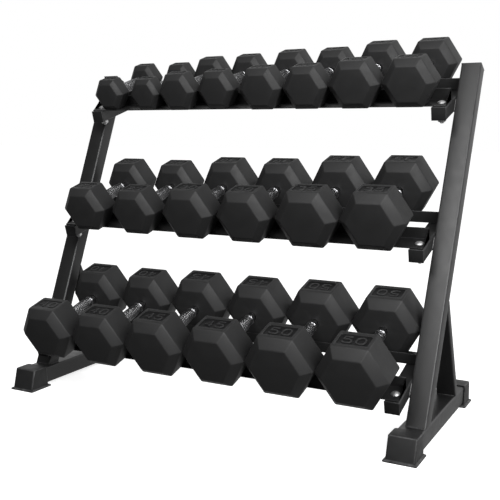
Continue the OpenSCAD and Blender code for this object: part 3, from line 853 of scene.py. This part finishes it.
def head_mesh(pounds):
    """One rubber head, inner face at y = 0: soft-edged chamfered hexagon, number panel on top,
    bore for the handle. Material 0 is the rubber, 1 the panel."""
    flats, length = SIZES[pounds][:2]
    ch = CHAMFER * flats
    bm = bmesh.new()
    wide, narrow = flats / 2, flats / 2 - ch
    rows = ((narrow, 0.0), (wide, ch), (wide, length - ch), (narrow, length))
    rings = [hexagon(bm, r / cos(pi / 6), y) for r, y in rows]
    for a, b in zip(rings, rings[1:]):
        bridge(bm, a, b)
    bm.faces.new(rings[0])
    bm.faces.new(rings[-1])
    bmesh.ops.recalc_face_normals(bm, faces=bm.faces)
    bmesh.ops.bevel(bm, geom=list(bm.edges), offset=HEAD_EDGE, segments=4, profile=0.5, affect="EDGES")
    top = max((f for f in bm.faces if f.normal.z > 0.999), key=lambda f: f.calc_area())
    panel_on(bm, top, flats, length, ch)
    bm.faces.ensure_lookup_table()
    inner = max((f for f in bm.faces if f.normal.y < -0.999), key=lambda f: f.calc_area())
    collar_on(bm, inner)
    add_numerals(bm, pounds, flats, length, ch)
    bmesh.ops.recalc_face_normals(bm, faces=bm.faces)
    return bm


def panel_on(bm, top, flats, length, ch):
    """Replaces the top flat by a frame round a recessed panel with sloping sides."""
    z = flats / 2
    half_w = PANEL_W * flats / sqrt(3) / 2
    half_l = PANEL_L * (length - 2 * ch) / 2
    outer = list(top.verts)
    bmesh.ops.delete(bm, geom=[top], context="FACES_ONLY")
    middle = length / 2

    def rectangle(grow, height, radius):
        outline = rounded_rectangle(half_w + grow, half_l + grow, radius, 4)
        return add_ring(bm, [(u, middle + v, height) for u, v in outline])

    rim = rectangle(0.0006, z, 0.0030)
    lip = rectangle(0.0002, z - 0.0002, 0.0028)
    wall = rectangle(-0.0002, z - PANEL_DEPTH + 0.0002, 0.0026)
    bed = rectangle(-0.0006, z - PANEL_DEPTH, 0.0024)
    edges = [bm.edges.get((outer[i], outer[(i + 1) % len(outer)])) for i in range(len(outer))]
    edges += [bm.edges.new((rim[i], rim[(i + 1) % len(rim)])) for i in range(len(rim))]
    bmesh.ops.triangle_fill(bm, edges=edges, use_beauty=True, normal=(0, 0, 1))
    bridge(bm, rim, lip)
    bridge(bm, lip, wall, 1)
    bridge(bm, wall, bed, 1)
    bm.faces.new(bed).material_index = 1


def collar_on(bm, inner):
    """Opens the inner face where the handle goes in, with a soft moulded lip round it."""
    outer = list(inner.verts)
    bmesh.ops.delete(bm, geom=[inner], context="FACES_ONLY")
    segments = 32
    turns = [2 * pi * i / segments for i in range(segments)]
    rings = []
    for grow, y in ((0.0032, 0.0), (0.0012, 0.0006), (0.0003, 0.0020), (0.0002, 0.0040)):
        r = NECK_R + grow
        rings.append(add_ring(bm, [(r * cos(a), y, r * sin(a)) for a in turns]))
    edges = [bm.edges.get((outer[i], outer[(i + 1) % len(outer)])) for i in range(len(outer))]
    edges += [bm.edges.new((rings[0][i], rings[0][(i + 1) % segments])) for i in range(segments)]
    bmesh.ops.triangle_fill(bm, edges=edges, use_beauty=True, normal=(0, -1, 0))
    for a, b in zip(rings, rings[1:]):
        bridge(bm, a, b)
    bm.faces.new(rings[-1])


def add_numerals(bm, pounds, flats, length, ch):
    """The weight in raised strokes across the panel, read from the head's outer end."""
    text = str(pounds)
    z = flats / 2
    half_w = PANEL_W * flats / sqrt(3) / 2
    half_l = PANEL_L * (length - 2 * ch) / 2
    high = half_l * 1.24
    wide = high * 0.62
    gap = wide * 0.55
    total = len(text) * wide + (len(text) - 1) * gap
    stretch = min(1.25, 1.7 * half_w / total)
    start = -total * stretch / 2
    for k, digit in enumerate(text):
        left = start + k * (wide + gap) * stretch
        for path in digit_strokes(digit):
            points = [
                Vector((-left - px * wide * stretch, (length + high - py * high) / 2)) for px, py in path
            ]
            raised_path(bm, points, high * 0.17, z - PANEL_DEPTH - 0.0002, z - 0.0001)


def handle_mesh(pounds):
    """The handle: plain necks, a double ring at each end, and a knurled grip that swells to its
    middle. With it go the two iron cores inside the heads."""
    flats, length, between, rubber = SIZES[pounds]
    half = between / 2
    ring = half - 0.020
    reach = half + rubber + 0.6 * (length - 2 * rubber)
    bm = bmesh.new()
    uv = bm.loops.layers.uv.new("turned")
    swell = GRIP_R - GRIP_END_R
    grip = [(GRIP_END_R + swell * cos(pi / 2 * k / 16), (ring - 0.0025) * k / 16) for k in range(-16, 17)]
    lathe(bm, grip, 48, "Y", 1, uv)
    for sign in (-1, 1):
        lathe(bm, [(r, sign * y) for r, y in ring_profile(ring, reach)], 48, "Y", 0, uv)
    for sign in (-1, 1):
        core(bm, flats, length, half, rubber, sign)
    bmesh.ops.remove_doubles(bm, verts=bm.verts, dist=1e-6)
    return bm


def ring_profile(ring, reach):
    """From the end of the grip, over a groove and the ring, down to the neck and into the head."""
    profile = [(GRIP_END_R, ring - 0.0025)]
    profile += [(GRIP_END_R - 0.0006, ring - 0.0019), (GRIP_END_R - 0.0009, ring - 0.0008)]
    for i in range(9):
        a = pi * i / 8
        profile.append((RING_R - 0.0017 + 0.0017 * sin(a), ring + 0.0018 - 0.0018 * cos(a)))
    shoulder = ring + 0.0036
    for i in range(1, 8):
        a = pi / 2 * i / 7
        r = NECK_R + (RING_R - 0.0021 - NECK_R) * (1 - sin(a))
        profile.append((r, shoulder + 0.0045 * (1 - cos(a))))
    profile += [(NECK_R, reach - 0.001), (NECK_R - 0.001, reach), (0.0, reach)]
    return profile


def core(bm, flats, length, half, rubber, sign):
    """Chamfered iron hexagon inside a head."""
    across, long = flats - 2 * rubber, length - 2 * rubber
    ch = max(CHAMFER * flats - 0.6 * rubber, 0.002)
    start = half + rubber
    rings = []
    rows = ((across / 2 - ch, 0), (across / 2, ch), (across / 2, long - ch), (across / 2 - ch, long))
    for r, y in rows:
        rings.append(hexagon(bm, (r - 0.0004) / cos(pi / 6), sign * (start + y)))
    for a, b in zip(rings, rings[1:]):
        bridge(bm, a, b, 2)
    for end in (rings[0], rings[-1]):
        bm.faces.new(end).material_index = 2


def both_heads(pounds):
    """The front and rear head of one dumbbell in one mesh, outer ends outwards."""
    between = SIZES[pounds][2]
    bm = head_mesh(pounds)
    bmesh.ops.translate(bm, verts=bm.verts, vec=(0, between / 2, 0))
    rear = bpy.data.meshes.new("rear_head")
    bm.to_mesh(rear)
    turn = Matrix.Rotation(pi, 4, "Z")
    bmesh.ops.transform(bm, matrix=turn, verts=bm.verts)
    bm.from_mesh(rear)
    bpy.data.meshes.remove(rear)
    return bm


def as_mesh(name, bm):
    """A mesh already tilted to the shelf, so that its piece is only moved into place."""
    bmesh.ops.transform(bm, matrix=Matrix.Rotation(TILT, 4, "X"), verts=bm.verts)
    mesh = bpy.data.meshes.new(name)
    bm.to_mesh(mesh)
    bm.free()
    return mesh


def dumbbells():
    for tier, row in enumerate(TIER_POUNDS):
        for place_in_row, pounds in enumerate(row):
            heads = as_mesh(f"heads_{pounds:02d}", both_heads(pounds))
            handle = as_mesh(f"handle_{pounds:02d}", handle_mesh(pounds))
            for k, letter in enumerate("ab"):
                name = f"dumbbell_{pounds:02d}_{letter}"
                low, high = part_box(name + "_heads")
                x = (low.x + high.x) / 2
                spot = Vector((x, TIER_S[tier][2 * place_in_row + k], SEAT + SIZES[pounds][0] / 2))
                m = Matrix.Translation(shelf_matrix(tier) @ spot)
                place(name + "_rubber", heads, [RUBBER, PANEL], name, [name + "_heads"], "black_rubber", m)
                metals = [CHROME, KNURL, IRON]
                place(name + "_bar", handle, metals, name, [name + "_handle"], "chromed_steel", m)


# ---------------------------------------------------------------- build
for side, name in ((-1, "left"), (1, "right")):
    base_tube(side, name)
    upright(side, name)
    rear_brace(side, name)
    shelf_arms(side, name)
for tier in range(3):
    rail(tier, False)
    rail(tier, True)
foot_caps()
top_caps()
end_plugs()
fasteners()
dumbbells()


# ---------------------------------------------------------------- floor, light and camera
def floor():
    """A pale floor that stays light under the rack, like the lit sweep of a studio."""
    bm = bmesh.new()
    bmesh.ops.create_grid(bm, x_segments=8, y_segments=8, size=30)
    mesh = bpy.data.meshes.new("floor")
    bm.to_mesh(mesh)
    bm.free()
    mesh.materials.append(floor_material())
    ground = bpy.data.objects.new("floor", mesh)
    bpy.context.scene.collection.objects.link(ground)
    ground.visible_glossy = False
    ground.visible_diffuse = False


def softbox(name, place, target, size, power):
    data = bpy.data.lights.new(name, "AREA")
    data.shape = "RECTANGLE"
    data.size, data.size_y = size
    data.energy = power
    lamp = bpy.data.objects.new(name, data)
    bpy.context.scene.collection.objects.link(lamp)
    lamp.location = place
    lamp.rotation_euler = (Vector(target) - Vector(place)).to_track_quat("-Z", "Y").to_euler()
    lamp.visible_camera = False


def world():
    """White studio: bright behind the rack, dim in front of it and below."""
    studio = bpy.data.worlds.new("studio")
    studio.use_nodes = True
    tree = studio.node_tree
    new, link = tree.nodes.new, tree.links.new
    place = new("ShaderNodeTexCoord")
    split = new("ShaderNodeSeparateXYZ")
    link(place.outputs["Generated"], split.inputs[0])

    def ramp(source, stops):
        node = new("ShaderNodeValToRGB")
        shift = new("ShaderNodeMath")
        shift.operation = "MULTIPLY_ADD"
        shift.inputs[1].default_value = 0.5
        shift.inputs[2].default_value = 0.5
        link(source, shift.inputs[0])
        link(shift.outputs[0], node.inputs[0])
        while len(node.color_ramp.elements) < len(stops):
            node.color_ramp.elements.new(0.5)
        for stop, (where, value) in zip(node.color_ramp.elements, stops):
            stop.position = where
            stop.color = (value, value, value, 1)
        return node.outputs["Color"]

    stops = ((0.0, WORLD_FRONT), (0.45, WORLD_FRONT), (0.75, WORLD_BACK), (1.0, WORLD_BACK))
    depth = ramp(split.outputs["Y"], stops)
    stops = ((0.0, WORLD_BELOW), (0.42, WORLD_BELOW), (0.52, 1.0), (1.0, 1.0))
    height = ramp(split.outputs["Z"], stops)
    both = new("ShaderNodeMixRGB")
    both.blend_type = "MULTIPLY"
    both.inputs["Fac"].default_value = 1
    link(depth, both.inputs["Color1"])
    link(height, both.inputs["Color2"])
    path = new("ShaderNodeLightPath")
    seen = new("ShaderNodeMixRGB")
    seen.inputs["Color2"].default_value = (1, 1, 1, 1)
    link(path.outputs["Is Camera Ray"], seen.inputs["Fac"])
    link(both.outputs["Color"], seen.inputs["Color1"])
    link(seen.outputs["Color"], tree.nodes["Background"].inputs["Color"])
    bpy.context.scene.world = studio


def camera():
    yaw, pitch, roll = radians(28.59), radians(10.44), radians(0.14)
    data = bpy.data.cameras.new("camera")
    data.sensor_width = 36
    data.lens = 59.49
    data.shift_x, data.shift_y = 0.0424, 0.07
    data.clip_end = 60
    view = bpy.data.objects.new("camera", data)
    bpy.context.scene.collection.objects.link(view)
    view.matrix_world = (
        Matrix.Translation(Vector((1.0070, -1.6577, 0.6969)) + OFFSET)
        @ Matrix.Rotation(yaw, 4, "Z")
        @ Matrix.Rotation(pi / 2 - pitch, 4, "X")
        @ Matrix.Rotation(roll, 4, "Z")
    )
    bpy.context.scene.camera = view


WORLD_FRONT, WORLD_BACK, WORLD_BELOW = 0.095, 0.80, 0.60

floor()
world()
softbox("key_softbox", (0.35, -2.1, 2.35), (0.25, 0, 0.5), (1.4, 1.2), 44)
softbox("side_softbox", (2.35, -1.9, 1.8), (0, -0.1, 0.6), (1.7, 1.7), 92)
camera()
bpy.context.scene.view_settings.view_transform = "Standard"
